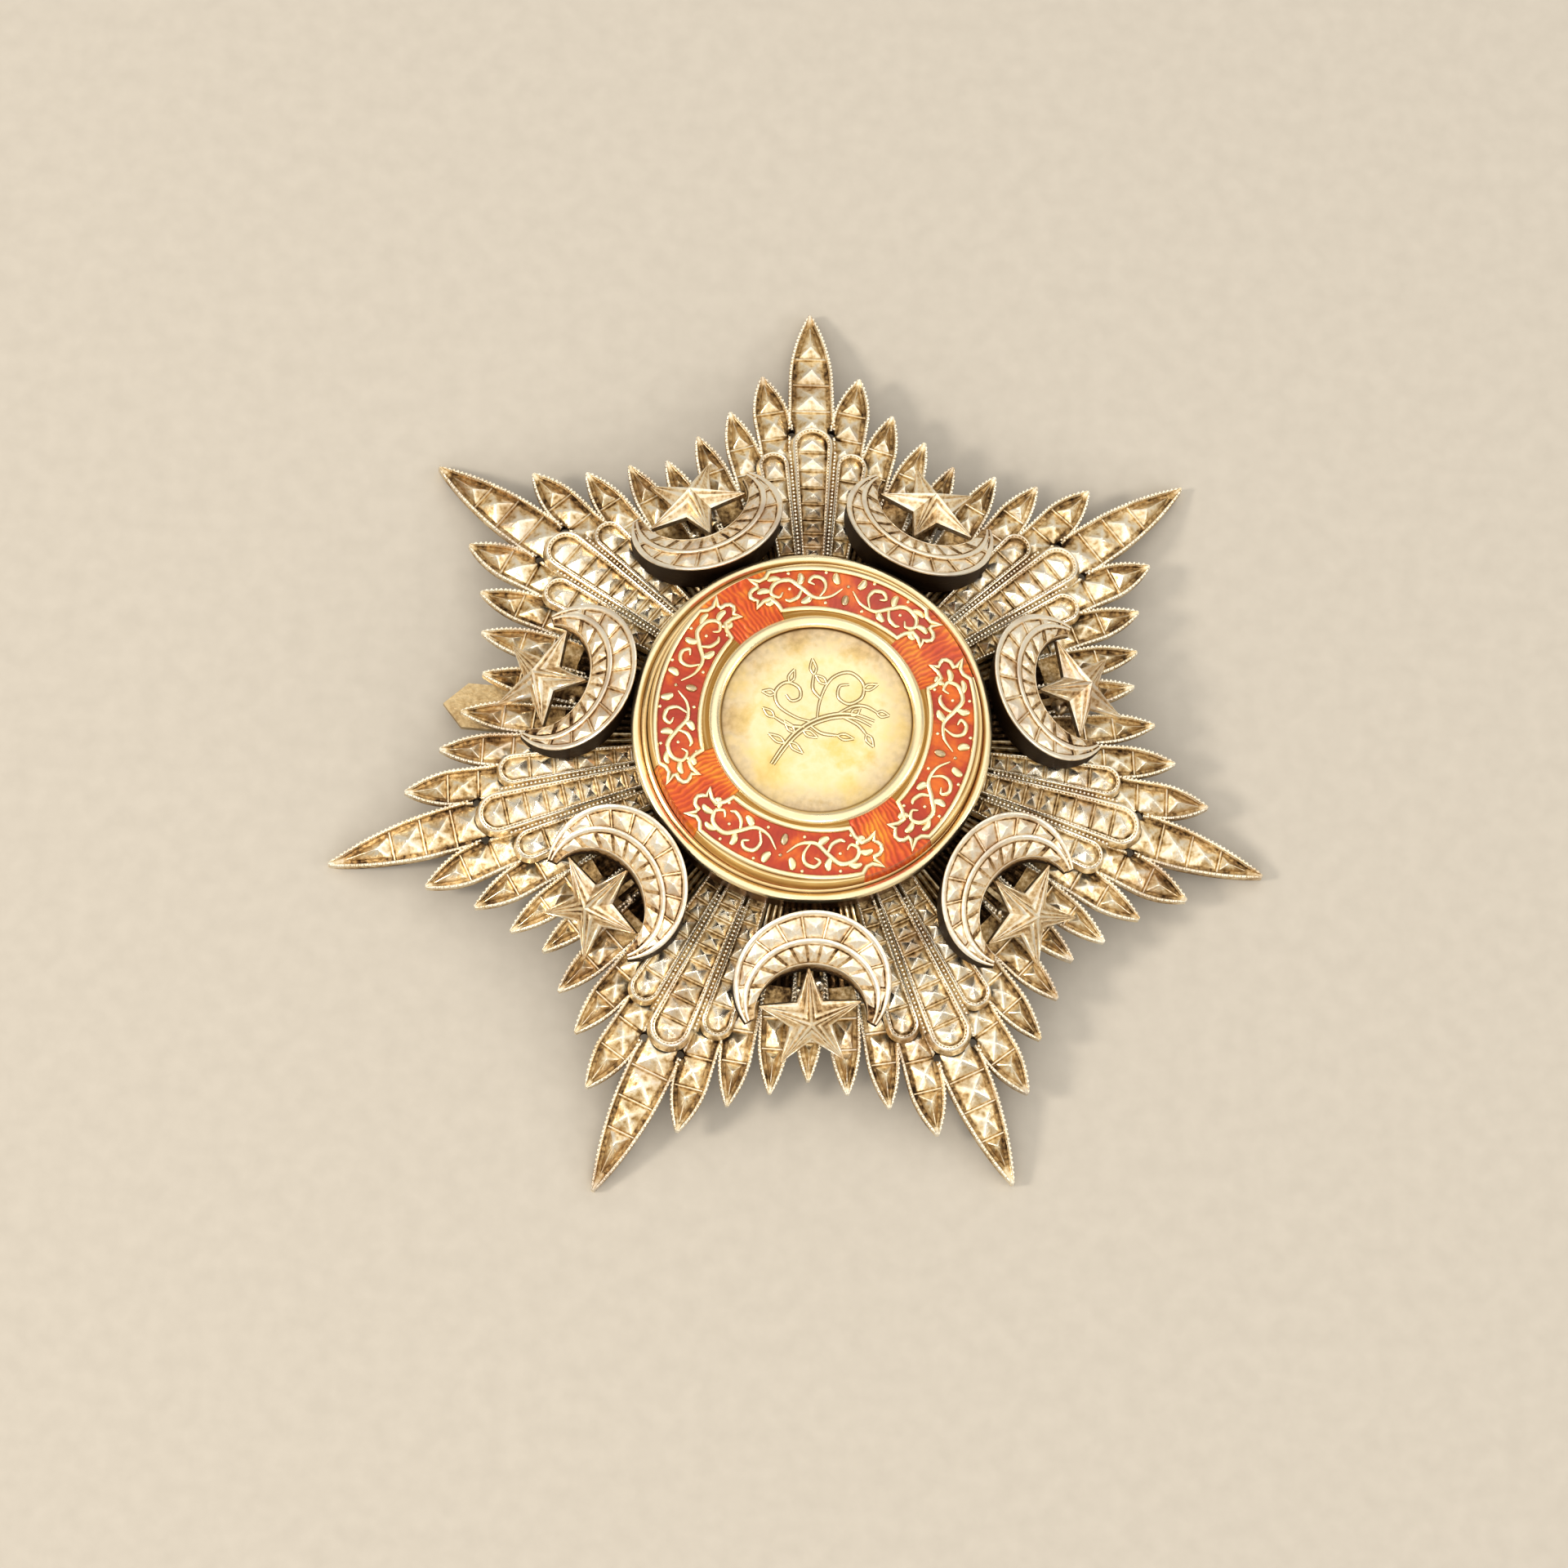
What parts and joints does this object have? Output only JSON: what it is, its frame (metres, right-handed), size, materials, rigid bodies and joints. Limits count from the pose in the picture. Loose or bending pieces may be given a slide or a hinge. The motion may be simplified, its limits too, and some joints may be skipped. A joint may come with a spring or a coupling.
{
  "type": "breast star",
  "caption": "Domed breast star of an order: studded silver ray sprays, crescents that each hold a small star, and a raised gold medallion with an enamel ring.",
  "frame": {"origin": "middle of the star's footprint, on the surface that the tips of its main rays rest on", "axes": "+Z out of the face, +Y to the top ray, +X to the right as seen from the front"},
  "size_m": [0.0898, 0.0875, 0.0168],
  "materials": {
    "silver": "patinated silver, pressed and chased",
    "gold": "worn gold, satin with bright edges",
    "enamel": "translucent orange-red enamel over engraved gold"
  },
  "bodies": {
    "root": {"ray_spray_1": "silver", "ray_spray_2": "silver", "ray_spray_3": "silver", "ray_spray_4": "silver", "ray_spray_5": "silver", "ray_spray_6": "silver", "ray_spray_7": "silver", "bar_set_1": "silver", "bar_set_2": "silver", "bar_set_3": "silver", "bar_set_4": "silver", "bar_set_5": "silver", "bar_set_6": "silver", "bar_set_7": "silver", "crescent_1": "silver", "crescent_2": "silver", "crescent_3": "silver", "crescent_4": "silver", "crescent_5": "silver", "crescent_6": "silver", "crescent_7": "silver", "small_star_1": "silver", "small_star_2": "silver", "small_star_3": "silver", "small_star_4": "silver", "small_star_5": "silver", "small_star_6": "silver", "small_star_7": "silver", "under_star": "silver", "medallion_case": "gold", "enamel_ring": "enamel", "cartouche_1": "gold", "cartouche_2": "gold", "cartouche_3": "gold", "cartouche_4": "gold", "inner_ring": "gold", "centre_disc": "gold", "back_cap": "silver", "brooch_pin": "silver", "side_tab": "silver"}
  },
  "joints": []
}
